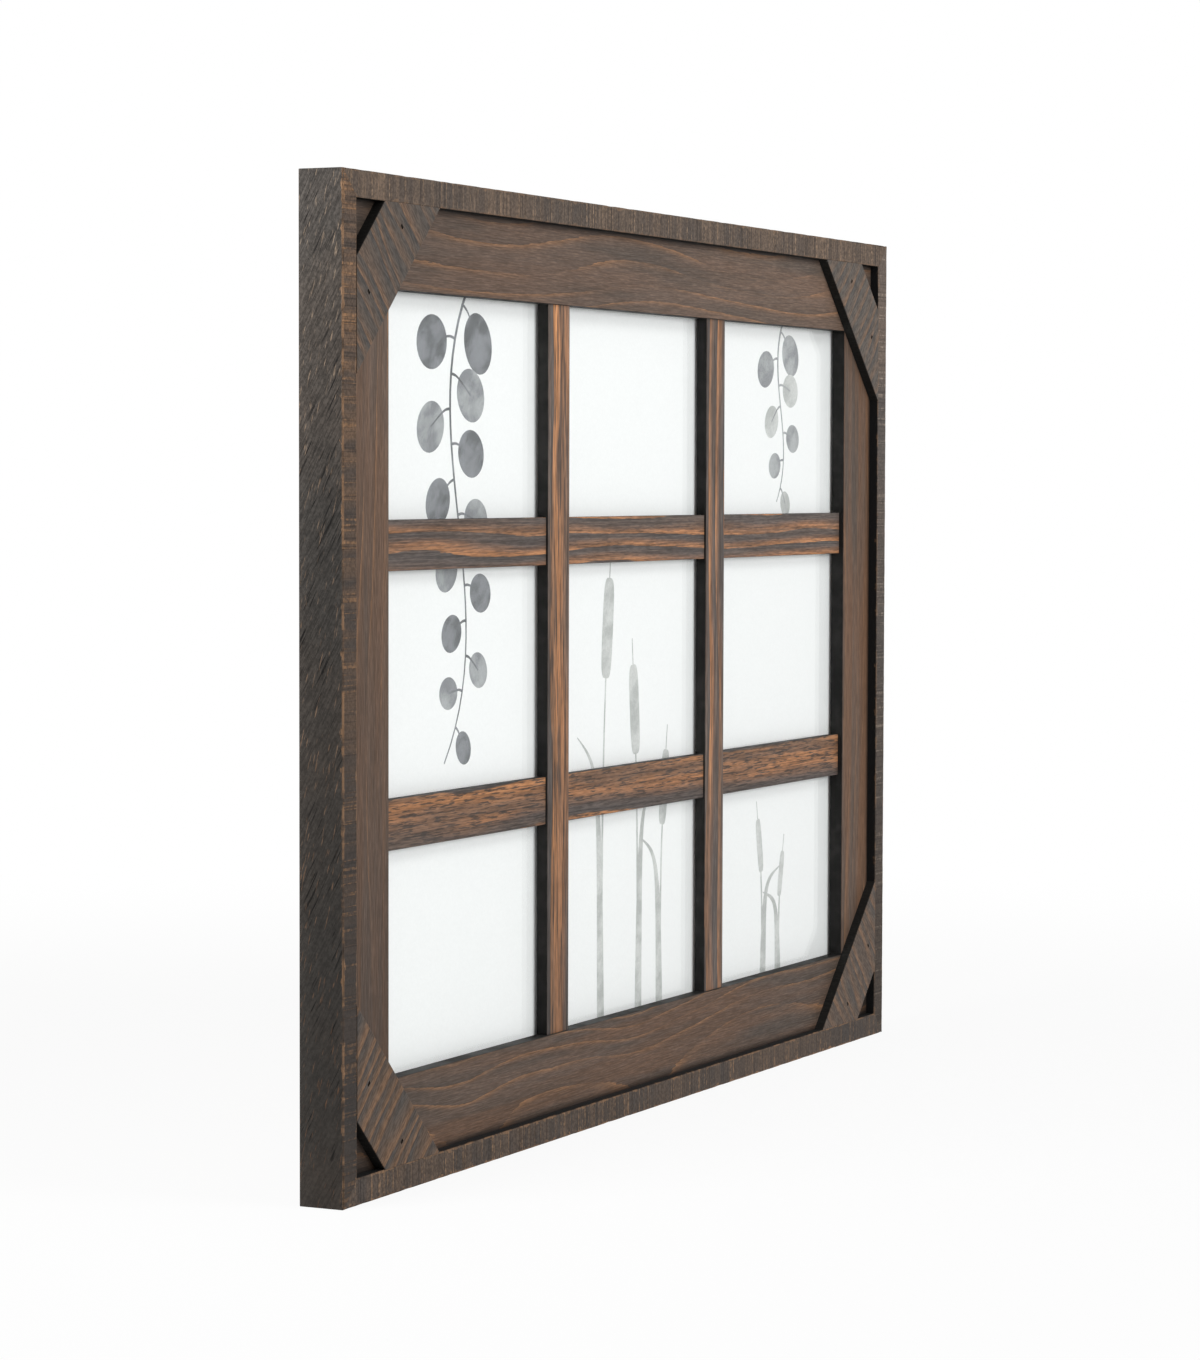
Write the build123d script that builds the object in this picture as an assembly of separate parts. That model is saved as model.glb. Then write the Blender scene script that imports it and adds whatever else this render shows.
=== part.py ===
"""Nine-opening collage photo frame for the wall, in millimetres.

A mitred outer band of rough-sawn wood holds a set-back inner frame of two rails and two stiles,
half-lapped at the corners and rabbeted at the back. Two upright and two cross muntins, lapped into
each other and into the inner frame, divide it into nine openings. A brace lies across each corner.
Glass, print sheet and backing board sit in the rabbet under turn buttons, and two D-ring hangers
carry the frame on the wall.

+X is the viewer's right, +Z is up, and the front faces -Y. The origin is the middle of the wall
plane, which the back edges of the outer band lie in. Depths are counted from the front of the band.
"""

import os
from math import asin, degrees, sqrt

from build123d import *

# Openings, each for a 4 x 6 inch picture with a quarter inch covered all round
opening_w = 139.7
opening_h = 88.9
columns = 3
rows = 3

# Outer band
band_w = 10.5
band_edge_r = 0.6

# Inner frame
inner_w = 33.0
inner_set_back = 4.5
lip_t = 6.5
rabbet_w = 8.0
inner_edge_r = 0.5

# Muntins
muntin_w = 20.0
upright_t = 5.0
cross_t = 4.0
lap_t = 2.5
tongue_l = 6.0
muntin_edge_r = 0.4
wood_clearance = 0.1

# Corner braces and their brads
brace_w = 31.5
brace_gap_leg = 22.0
brace_edge_r = 0.5
brad_w = 1.9
brad_t = 1.3
brad_l = 11.0
brad_sunk = 0.4
brad_spacing = 37.0
nail_clearance = 0.03

# V-nails across the mitres
vnail_leg = 5.0
vnail_t = 0.5
vnail_l = 10.0

# Glass, print sheet and backing board
glass_t = 2.0
glass_seam = 0.3
sheet_t = 0.3
sheet_gap = 0.1
board_t = 2.5
board_corner_r = 3.0
board_slack = 0.1
pane_clearance = 0.8

# Turn buttons
button_t = 0.8
button_head_r = 5.0
button_tail_r = 3.5
button_reach = 13.5
button_inset = 6.5
button_play = 0.05
rib_l = 8.0
rib_w = 2.6
rib_h = 0.6
rib_slope = 35.0
rail_button_spacing = 240.0
stile_button_spacing = 140.0

# Pan-head wood screws, one under each turn button and each hanger strap
screw_d = 2.9
screw_l = 9.0
screw_tip_l = 2.5
screw_head_r = 2.8
screw_top_r = 2.0
screw_head_h = 1.6
screw_slot_w = 0.7
screw_slot_l = 3.2
screw_slot_depth = 0.8
pilot_clearance = 0.02
pivot_clearance = 0.08

# D-ring hangers
wire_d = 1.6
wire_sides = 12
ring_corner_r = 2.2
ring_side_play = 0.6
strap_w = 10.0
strap_t = 0.8
strap_screw_drop = 16.0
hanger_below_top = 72.0
wall_clearance = 0.14

# Sizes that follow
lattice_w = columns * opening_w + (columns - 1) * muntin_w
lattice_h = rows * opening_h + (rows - 1) * muntin_w
inner_span_w = lattice_w + 2 * inner_w
inner_span_h = lattice_h + 2 * inner_w
frame_w = inner_span_w + 2 * band_w
frame_h = inner_span_h + 2 * band_w
glass_front = inner_set_back + lip_t
sheet_front = glass_front + glass_t + sheet_gap
board_front = sheet_front + sheet_t
inner_back = board_front + board_t + board_slack
inner_t = inner_back - inner_set_back
pane_w = lattice_w + 2 * (rabbet_w - pane_clearance)
pane_h = lattice_h + 2 * (rabbet_w - pane_clearance)
eye_r = wire_d / 2 + pivot_clearance
eye_h = eye_r + strap_t
band_depth = inner_back + 2 * eye_h + wall_clearance
upright_places = [(k - (columns - 2) / 2) * (opening_w + muntin_w) for k in range(columns - 1)]
cross_places = [(k - (rows - 2) / 2) * (opening_h + muntin_w) for k in range(rows - 1)]

# The four sides in turn: the direction along each, its length, which way its middle lies, and the
# names of its two halves
SIDES = {
    "top": ((1, 0, 0), frame_w, (0, 0, 1), ("left", "right")),
    "right": ((0, 0, -1), frame_h, (1, 0, 0), ("upper", "lower")),
    "bottom": ((-1, 0, 0), frame_w, (0, 0, -1), ("right", "left")),
    "left": ((0, 0, 1), frame_h, (-1, 0, 0), ("lower", "upper")),
}
RAILS = ("top", "bottom")
# The corner at the start of each side
CORNERS = {"top_left": "top", "top_right": "right", "bottom_right": "bottom", "bottom_left": "left"}


def side_plane(side, inset=0.0, depth=0.0):
    """Plane on a side's middle: X along the side, Y inwards from its outer edge, Z towards the wall."""
    along, _, outwards, _ = SIDES[side]
    half = frame_h / 2 if side in RAILS else frame_w / 2
    middle = Vector(*outwards) * (half - inset)
    return Plane(origin=middle + Vector(0, depth - band_depth, 0), x_dir=along, z_dir=(0, 1, 0))


def corner_plane(corner):
    """Plane on the band's inside corner, at the front: X and Y along the two sides, Z towards the wall."""
    side = CORNERS[corner]
    along, length, _, _ = SIDES[side]
    base = side_plane(side, band_w)
    return Plane(origin=base.origin - Vector(*along) * (length / 2 - band_w), x_dir=along, z_dir=(0, 1, 0))


def block(x, y, z):
    """Straight cutter that fills three (low, high) spans."""
    middle = [(low + high) / 2 for low, high in (x, y, z)]
    return Pos(*middle) * Box(*(high - low for low, high in (x, y, z)))


def section(width, thickness):
    """Section of a wooden strip: its width from 0 in X, its thickness from the front at 0 in Y."""
    return Rectangle(width, thickness, align=(Align.MIN, Align.MIN))


def front_corners(outline):
    """The two corners at the front of a strip's section, the inner one last."""
    return outline.vertices().group_by(Axis.Y)[0].sort_by(Axis.X)


def strip(outline, length):
    """Strip of a section, centred along X, its width in Y and its thickness in Z."""
    across = Plane(origin=(-length / 2, 0, 0), x_dir=(0, 1, 0), z_dir=(1, 0, 0))
    return extrude(across * outline, length)


def vnail(corner, clearance=0.0):
    """V-nail flush with the back of a mitre, one leg in each member and its point to the outside."""
    point = -band_w / 2 - vnail_t / 2 - clearance
    end = point + vnail_leg + 2 * clearance
    inside = point + vnail_t + 2 * clearance
    outline = Polyline((point, point), (end, point), (end, inside), (inside, inside), (inside, end),
                       (point, end), close=True)
    depth = vnail_l + clearance
    return corner_plane(corner) * Pos(0, 0, band_depth - depth) * extrude(make_face(outline), depth)


def band_member(side):
    """One side of the outer band, mitred at both ends and slotted for the V-nails."""
    _, length, _, _ = SIDES[side]
    bar = strip(fillet(section(band_w, band_depth).vertices(), band_edge_r), length)
    mitre = Polyline((-length / 2, 0), (length / 2, 0), (length / 2 - band_w, band_w),
                     (-length / 2 + band_w, band_w), close=True)
    member = side_plane(side) * (bar & extrude(make_face(mitre), band_depth))
    for corner in CORNERS:
        member -= vnail(corner, nail_clearance)
    return member


def brad_places(corner):
    """Plane on each of a brace's brads, at the front of the band."""
    middle = (brace_gap_leg + brace_w / sqrt(2)) / 2
    offset = brad_spacing / 2 / sqrt(2)
    return [corner_plane(corner) * Pos(middle + k * offset, middle - k * offset) for k in (-1, 1)]


def brads(corner, clearance=0.0):
    """A brace's two brads, flat-sided and driven just below its face, their broad sides across the brace;
    with a clearance, the holes they make."""
    top = 0 if clearance else brad_sunk
    shank = Box(brad_w + 2 * clearance, brad_t + 2 * clearance, brad_sunk + brad_l - top + clearance,
                align=(Align.CENTER, Align.CENTER, Align.MIN))
    return [place * Pos(0, 0, top) * Rot(0, 0, 45) * shank for place in brad_places(corner)]


def brace(corner):
    """Corner brace, cut at 45 degrees at both ends to fit the band, leaving a small gap in the corner."""
    far_leg = brace_gap_leg + brace_w * sqrt(2)
    outline = Polyline((brace_gap_leg, 0), (far_leg, 0), (0, far_leg), (0, brace_gap_leg), close=True)
    plank = extrude(make_face(outline), inner_set_back)
    front = plank.faces().sort_by(Axis.Z)[0]
    long_edges = [e for e in front.edges() if abs(e.tangent_at(0.5).X * e.tangent_at(0.5).Y) > 0.1]
    plank = corner_plane(corner) * fillet(long_edges, brace_edge_r)
    for hole in brads(corner, nail_clearance):
        plank -= hole
    return plank


def tongue_notch(place):
    """Notch in the rabbet's ledge for a muntin's tongue, at a place along the member."""
    half = muntin_w / 2 + wood_clearance
    depth = tongue_l + wood_clearance
    return block((place - half, place + half), (inner_w - depth, inner_w), (lip_t - lap_t, lip_t))


def inner_member(side):
    """Rail or stile of the inner frame: half-lapped ends, a rabbet and notches for the muntins."""
    is_rail = side in RAILS
    length = inner_span_w if is_rail else inner_span_h
    opening = lattice_w if is_rail else lattice_h
    bar = strip(fillet(front_corners(section(inner_w, inner_t))[-1], inner_edge_r), length)
    reach = opening / 2 + rabbet_w
    bar -= block((-reach, reach), (inner_w - rabbet_w, inner_w), (lip_t, inner_t))
    for place in (upright_places if is_rail else cross_places):
        bar -= tongue_notch(place)
    lap = (inner_t / 2, inner_t) if is_rail else (0, inner_t / 2)
    for end in (-1, 1):
        bar -= block(sorted((end * opening / 2, end * length / 2)), (0, inner_w), lap)
    member = side_plane(side, band_w, inner_set_back) * bar
    for corner in CORNERS:
        for hole in brads(corner, nail_clearance):
            member -= hole
    for place in screw_places():
        member -= place * pilot_hole()
    return member


def muntin(length, thickness, crossings, is_upright):
    """Muntin along X, centred in Y, its back at Z 0 and its front at -Z: a tongue at each end and
    a lap at each crossing."""
    outline = fillet(front_corners(section(muntin_w, thickness)), muntin_edge_r)
    bar = Pos(0, -muntin_w / 2, -thickness) * strip(outline, length + 2 * tongue_l)
    width = (-muntin_w / 2, muntin_w / 2)
    front = (-thickness, -lap_t)
    for end in (-1, 1):
        bar -= block(sorted((end * length / 2, end * (length / 2 + tongue_l))), width, front)
    half = muntin_w / 2 + wood_clearance
    for place in crossings:
        bar -= block((place - half, place + half), width, (-lap_t, 0) if is_upright else front)
    return bar


def upright_muntin(place):
    """Upright muntin, which passes in front of the cross muntins."""
    base = Plane(origin=(place, glass_front - band_depth, 0), x_dir=(0, 0, 1), z_dir=(0, 1, 0))
    return base * muntin(lattice_h, upright_t, cross_places, True)


def cross_muntin(place):
    """Cross muntin, a little lower than the uprights and lapped behind them."""
    base = Plane(origin=(0, glass_front - band_depth, place), x_dir=(1, 0, 0), z_dir=(0, 1, 0))
    return base * muntin(lattice_w, cross_t, upright_places, False)


def sheet(front, thickness, corner_r=0.0):
    """Flat sheet the size of the rabbet, less the clearance, with its front at a depth."""
    outline = RectangleRounded(pane_w, pane_h, corner_r) if corner_r else Rectangle(pane_w, pane_h)
    return Plane(origin=(0, front - band_depth, 0), x_dir=(1, 0, 0), z_dir=(0, 1, 0)) * extrude(
        outline, thickness)


def glass_pane():
    """Float glass with its sharp edges seamed off."""
    pane = sheet(glass_front, glass_t)
    rims = pane.edges().filter_by(Axis.Y, reverse=True)
    return chamfer(rims, glass_seam)


def button_places():
    """Plane on each turn button's pivot, on the inner frame's back: Y towards the board, Z to the wall."""
    places = {}
    for side in SIDES:
        base = side_plane(side, band_w, inner_back)
        spacing = rail_button_spacing if side in RAILS else stile_button_spacing
        _, _, _, halves = SIDES[side]
        for along, half in zip((-spacing / 2, spacing / 2), halves):
            places[f"turn_button_{side}_{half}"] = base * Pos(along, inner_w - rabbet_w - button_inset)
    return places


def turn_button(place):
    """Stamped turn button: a teardrop plate that turns on its screw, with a pressed rib."""
    head = Circle(button_head_r)
    tail = Pos(0, button_reach) * Circle(button_tail_r)
    outline = make_hull(head.edges() + tail.edges())
    plate = extrude(outline - Circle(screw_d / 2 + pivot_clearance), button_t)
    rib = extrude(Rot(0, 0, 90) * SlotOverall(rib_l, rib_w), rib_h, taper=rib_slope)
    rib_middle = button_reach + button_tail_r / 2 - rib_l / 2
    return place * Pos(0, 0, button_play) * (plate + Pos(0, rib_middle, button_t) * rib)


def hanger_places():
    """Plane on each hanger's eye, on the back of its stile: Y up, Z to the wall."""
    land = inner_w - rabbet_w
    across = inner_span_w / 2 - land / 2
    up = frame_h / 2 - hanger_below_top
    return {name: Plane(origin=(end * across, inner_back - band_depth, up), x_dir=(-1, 0, 0), z_dir=(0, 1, 0))
            for name, end in (("left", -1), ("right", 1))}


def hanger_strap(place):
    """Strap with a round lower end, a screw hole, and its upper end rolled into an eye for the ring."""
    foot = Pos(0, -strap_screw_drop) * Circle(strap_w / 2)
    blade = Pos(0, -strap_screw_drop / 2) * Rectangle(strap_w, strap_screw_drop)
    hole = Pos(0, -strap_screw_drop) * Circle(screw_d / 2 + pivot_clearance)
    plate = extrude(blade + foot - hole, strap_t)
    roll = Circle(eye_h) - Circle(eye_r)
    across = Plane(origin=(-strap_w / 2, 0, eye_h), x_dir=(0, 1, 0), z_dir=(1, 0, 0))
    bore = extrude(across * Circle(eye_r), strap_w)
    return place * (plate - bore + extrude(across * roll, strap_w))


def hanger_ring(place):
    """D-shaped ring of round wire, drawn with flats: it stands in its eye and leans on the wood behind."""
    half = strap_w / 2 + ring_side_play
    bow_r = half + ring_corner_r
    path = Wire([
        Line((-half, 0), (half, 0)).edge(),
        CenterArc((half, ring_corner_r), ring_corner_r, -90, 90).edge(),
        CenterArc((0, ring_corner_r), bow_r, 0, 180).edge(),
        CenterArc((-half, ring_corner_r), ring_corner_r, 180, 90).edge(),
    ])
    ring = sweep(Plane.YZ * RegularPolygon(wire_d / 2, wire_sides), path=path)
    lean = degrees(asin((eye_h - wire_d / 2 - pivot_clearance) / (ring_corner_r + bow_r)))
    return place * Pos(0, 0, eye_h) * Rot(-lean, 0, 0) * ring


def screw_places():
    """Plane under each screw head, Z towards the wall."""
    on_buttons = [place * Pos(0, 0, button_t + 2 * button_play) for place in button_places().values()]
    on_straps = [place * Pos(0, -strap_screw_drop, strap_t) for place in hanger_places().values()]
    return on_buttons + on_straps


def screw():
    """Pan-head screw: head above Z 0, plain shank and pointed tip below, cross recess in the head."""
    shank_r = screw_d / 2
    outline = Polyline((0, -screw_l), (shank_r, screw_tip_l - screw_l), (shank_r, 0), (screw_head_r, 0),
                       (screw_top_r, screw_head_h), (0, screw_head_h), close=True)
    body = revolve(Plane.XZ * make_face(outline), Axis.Z)
    floor = (screw_head_h - screw_slot_depth, screw_head_h)
    long = (-screw_slot_l / 2, screw_slot_l / 2)
    thin = (-screw_slot_w / 2, screw_slot_w / 2)
    return body - block(long, thin, floor) - block(thin, long, floor)


def pilot_hole():
    """Hole that a screw leaves in the wood."""
    return Cylinder(screw_d / 2 + pilot_clearance, screw_l + pilot_clearance,
                    align=(Align.CENTER, Align.CENTER, Align.MAX))


parts = {}
for side in SIDES:
    parts[f"band_{side}"] = band_member(side)
    parts[f"inner_{'rail' if side in RAILS else 'stile'}_{side}"] = inner_member(side)
for k, place in enumerate(upright_places, 1):
    parts[f"upright_muntin_{k}"] = upright_muntin(place)
for k, place in enumerate(cross_places, 1):
    parts[f"cross_muntin_{k}"] = cross_muntin(place)
for corner in CORNERS:
    parts[f"corner_brace_{corner}"] = brace(corner)
parts["brace_brads"] = Compound(children=[brad for corner in CORNERS for brad in brads(corner)])
parts["mitre_vnails"] = Compound(children=[vnail(corner) for corner in CORNERS])
parts["glass_pane"] = glass_pane()
parts["print_sheet"] = sheet(sheet_front, sheet_t)
parts["backing_board"] = sheet(board_front, board_t, board_corner_r)
for name, place in button_places().items():
    parts[name] = turn_button(place)
for name, place in hanger_places().items():
    parts[f"hanger_strap_{name}"] = hanger_strap(place)
    parts[f"hanger_ring_{name}"] = hanger_ring(place)
all_screws = [place * screw() for place in screw_places()]
parts["turn_button_screws"] = Compound(children=all_screws[:len(button_places())])
parts["hanger_screws"] = Compound(children=all_screws[len(button_places()):])

os.makedirs("parts", exist_ok=True)
for name, solid in parts.items():
    solid.label = name
    export_step(solid, f"parts/{name}.step")

print(f"frame {frame_w:.1f} x {frame_h:.1f} x {band_depth:.1f} mm, pane {pane_w:.1f} x {pane_h:.1f} mm")
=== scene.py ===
"""Looks of a nine-opening wooden collage frame: sawn outer band, stained inner frame, banded muntins."""
import math

import bmesh
import bpy
from mathutils import Matrix, Vector, noise
from mathutils.geometry import delaunay_2d_cdt, interpolate_bezier


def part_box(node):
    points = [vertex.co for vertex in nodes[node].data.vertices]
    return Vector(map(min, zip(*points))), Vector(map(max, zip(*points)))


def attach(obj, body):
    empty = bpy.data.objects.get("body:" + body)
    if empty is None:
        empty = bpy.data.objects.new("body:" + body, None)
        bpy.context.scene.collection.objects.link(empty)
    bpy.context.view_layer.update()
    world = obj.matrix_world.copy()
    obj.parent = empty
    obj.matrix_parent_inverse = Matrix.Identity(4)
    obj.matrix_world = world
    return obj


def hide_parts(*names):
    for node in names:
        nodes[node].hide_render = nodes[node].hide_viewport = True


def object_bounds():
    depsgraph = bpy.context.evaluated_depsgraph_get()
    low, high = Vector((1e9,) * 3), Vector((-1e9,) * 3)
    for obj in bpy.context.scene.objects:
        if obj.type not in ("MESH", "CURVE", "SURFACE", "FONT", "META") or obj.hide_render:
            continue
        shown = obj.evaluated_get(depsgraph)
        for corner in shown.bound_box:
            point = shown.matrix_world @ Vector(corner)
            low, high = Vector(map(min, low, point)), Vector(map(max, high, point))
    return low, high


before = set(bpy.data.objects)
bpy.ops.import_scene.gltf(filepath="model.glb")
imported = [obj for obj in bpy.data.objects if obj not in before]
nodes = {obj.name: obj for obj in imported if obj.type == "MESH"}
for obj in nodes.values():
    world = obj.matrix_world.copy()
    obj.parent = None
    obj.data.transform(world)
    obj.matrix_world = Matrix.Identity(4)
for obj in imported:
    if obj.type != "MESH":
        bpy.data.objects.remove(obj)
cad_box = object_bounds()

MM = 0.001
scene = bpy.context.scene
quarter = math.radians(90)
eighth = math.radians(45)

# Camera: where the photograph was taken from, in degrees and metres
camera_yaw = -64.03
camera_pitch = 2.884
camera_roll = 0.151
camera_distance = 1.7336
aim_right = -22.94 * MM
aim_up = -7.45 * MM
lens_mm = 104.587
sensor_mm = 36.0

# Studio: the floor is nearly white at the frame and white from floor_far on, in metres
floor_span = 12.0
floor_near_white = 0.92
floor_near = 0.35
floor_far = 1.1
world_fill = 0.42

# Lamps: name, size in metres, power in watts, place, aim
lamps = (("front_lamp", 0.9, 27.0, (0.1, -2.4, 0.5), (0, 0, 0)),
         ("top_lamp", 0.45, 4.2, (-0.1, -1.0, 0.9), (0, 0, 0)),
         ("side_lamp", 0.2, 2.8, (-0.50, 0.10, 0.40), (-0.27, 0, 0.17)))

# Print: points of each curve, and how far its stems start from the sheet's edge in millimetres
stroke_points = 28
print_margin = 3.0

# Sawn band: how finely its members are cut, and how deep saw marks, tears and chips are pressed in
slice_length = 1.5 * MM
slice_depth = 1.7 * MM
saw_mark = 0.12 * MM
tear_depth = 0.25 * MM
chip_depth = 0.5 * MM
weld_distance = 0.001 * MM

# How far those marks keep their shape, in millimetres, and the slant of the tears
saw_pitch = 3.2
saw_sweep = 30
tear_length = 9
tear_width = 1.9
tear_slant = math.radians(20)
chip_length = 4.5
chip_width = 8

# The band's own sizes, in millimetres
band_low, band_high = (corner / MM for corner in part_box("band_left"))
half_width = -band_low.x
half_height = band_high.z
band_width = band_high.x - band_low.x
band_front = band_low.y
rail_rim = half_height - band_width
stile_rim = half_width - band_width

# Tones, warmth, depth of marks, and painted light and shade change along a piece within this reach of its
# middle, in millimetres
gradient_reach = 0.8 * half_height

# Each piece takes its wood from another part of the pattern, so many millimetres further along and across
next_along = 137.0
next_across = 61.0

# A face counts as an edge or as a front by how far it looks forwards or back, and an edge of the band as its
# inner or outer side by how far it looks outwards
edge_look = 0.35
front_look = 0.85
inner_look = -0.5
outer_look = 0.2

# Settings of a Mix node that mixes colours
rgba = {"out": 2, "data_type": "RGBA"}


def linear(hex_colour):
    """An sRGB hex colour as the linear RGBA that a colour socket holds."""
    channels = [int(hex_colour[i:i + 2], 16) / 255 for i in (1, 3, 5)]
    curve = [c / 12.92 if c <= 0.04045 else ((c + 0.055) / 1.055) ** 2.4 for c in channels]
    return (*curve, 1.0)


def node(tree, kind, inputs=None, out=0, stops=None, **settings):
    """Adds a node and returns one output. A socket in inputs is linked, anything else is set as a value.
    A Mix has its factor at 0 and its colours at 6 and 7. A MapRange has its value at 0, its range at 1 and 2,
    and the range it goes to at 3 and 4."""
    made = tree.nodes.new("ShaderNode" + kind)
    for name, value in settings.items():
        setattr(made, name, value)
    for name, value in (inputs or {}).items():
        if isinstance(value, bpy.types.NodeSocket):
            tree.links.new(value, made.inputs[name])
        else:
            made.inputs[name].default_value = value
    if stops:
        ramp = made.color_ramp.elements
        while len(ramp) < len(stops):
            ramp.new(1.0)
        for element, (place, colour) in zip(ramp, stops):
            element.position = place
            element.color = linear(colour)
    return made.outputs[out] if len(made.outputs) else made.inputs[0]


def new_material(name):
    """An empty node material with the surface socket of its output."""
    material = bpy.data.materials.new(name)
    material.use_nodes = True
    tree = material.node_tree
    tree.nodes.clear()
    return material, tree, node(tree, "OutputMaterial")


def grain_coords(tree, turn, seed, across=None):
    """Object coordinates in millimetres, turned about the depth axis so that X runs along the piece, and
    the same shifted to another part of the pattern."""
    where = node(tree, "TexCoord", out="Object")
    plain = node(tree, "Mapping", {"Vector": where, "Rotation": (0, turn, 0), "Scale": (1 / MM,) * 3})
    shift = (next_along * seed, 0, next_across * seed if across is None else across)
    shifted = node(tree, "VectorMath", {0: plain, 1: shift}, operation="ADD")
    return plain, shifted


def grain(tree, coords, size, ease=(0.0, 1.0), to=(0.0, 1.0), detail=2.0):
    """Noise in blotches of so many millimetres along, deep and across the piece, eased into a range."""
    scaled = node(tree, "Mapping", {"Vector": coords, "Scale": tuple(1 / s for s in size)})
    rough = node(tree, "TexNoise", {"Vector": scaled, "Scale": 1.0, "Detail": detail})
    return node(tree, "MapRange", {0: rough, 1: ease[0], 2: ease[1], 3: to[0], 4: to[1]},
                interpolation_type="SMOOTHSTEP")


def year_rings(tree, coords, spacing, wander, sway, spread, fray):
    """Place within a year ring, from 0 to 1 across it, on wavy rings that lie along the piece. Sway and
    spread are how far along and across it the waves keep their shape, and fray is how ragged they are."""
    drift = grain(tree, coords, (sway, sway, spread), to=(-wander, wander), detail=0.5)
    ragged = grain(tree, coords, (9.0, 9.0, 1.0), to=(-fray, fray), detail=3.0)
    across = node(tree, "SeparateXYZ", {"Vector": coords}, out="Z")
    bent = node(tree, "Math", {0: across, 1: drift}, operation="ADD")
    frayed = node(tree, "Math", {0: bent, 1: ragged}, operation="ADD")
    turns = node(tree, "Math", {0: frayed, 1: spacing}, operation="DIVIDE")
    return node(tree, "Math", {0: turns}, operation="FRACT")


def outward_looks(tree, turn):
    """How far a face looks to the front or back, from 0 to 1, and how far it looks across the piece."""
    normal = node(tree, "TexCoord", out="Normal")
    turned = node(tree, "Mapping", {"Vector": normal, "Rotation": (0, turn, 0)}, vector_type="VECTOR")
    depth = node(tree, "SeparateXYZ", {"Vector": turned}, out="Y")
    size = node(tree, "Math", {0: depth}, operation="ABSOLUTE")
    flat = node(tree, "MapRange", {0: size, 1: edge_look, 2: front_look}, interpolation_type="SMOOTHSTEP")
    return flat, node(tree, "SeparateXYZ", {"Vector": turned}, out="Z")


def end_to_end(tree, plain, ends):
    """A tone, warmth, depth or painted light and shade that changes evenly along a piece, from its left or
    lower end to the other.
    """
    run = node(tree, "SeparateXYZ", {"Vector": plain}, out="X")
    return node(tree, "MapRange", {0: run, 1: -gradient_reach, 2: gradient_reach, 3: ends[0], 4: ends[1]})


def finish_wood(tree, surface, colour, tones, roughness, height, bump_mm):
    """Closes a wood material: the colour under its tones, roughness and a bump of so many millimetres."""
    for tone in tones:
        colour = node(tree, "VectorMath", {0: colour, 3: tone}, operation="SCALE")
    bump = node(tree, "Bump", {"Height": height, "Strength": 1.0, "Distance": bump_mm * MM})
    wood = node(tree, "BsdfPrincipled", {"Base Color": colour, "Roughness": roughness,
                                         "Specular IOR Level": 0.15, "Normal": bump})
    tree.links.new(wood, surface)


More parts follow.
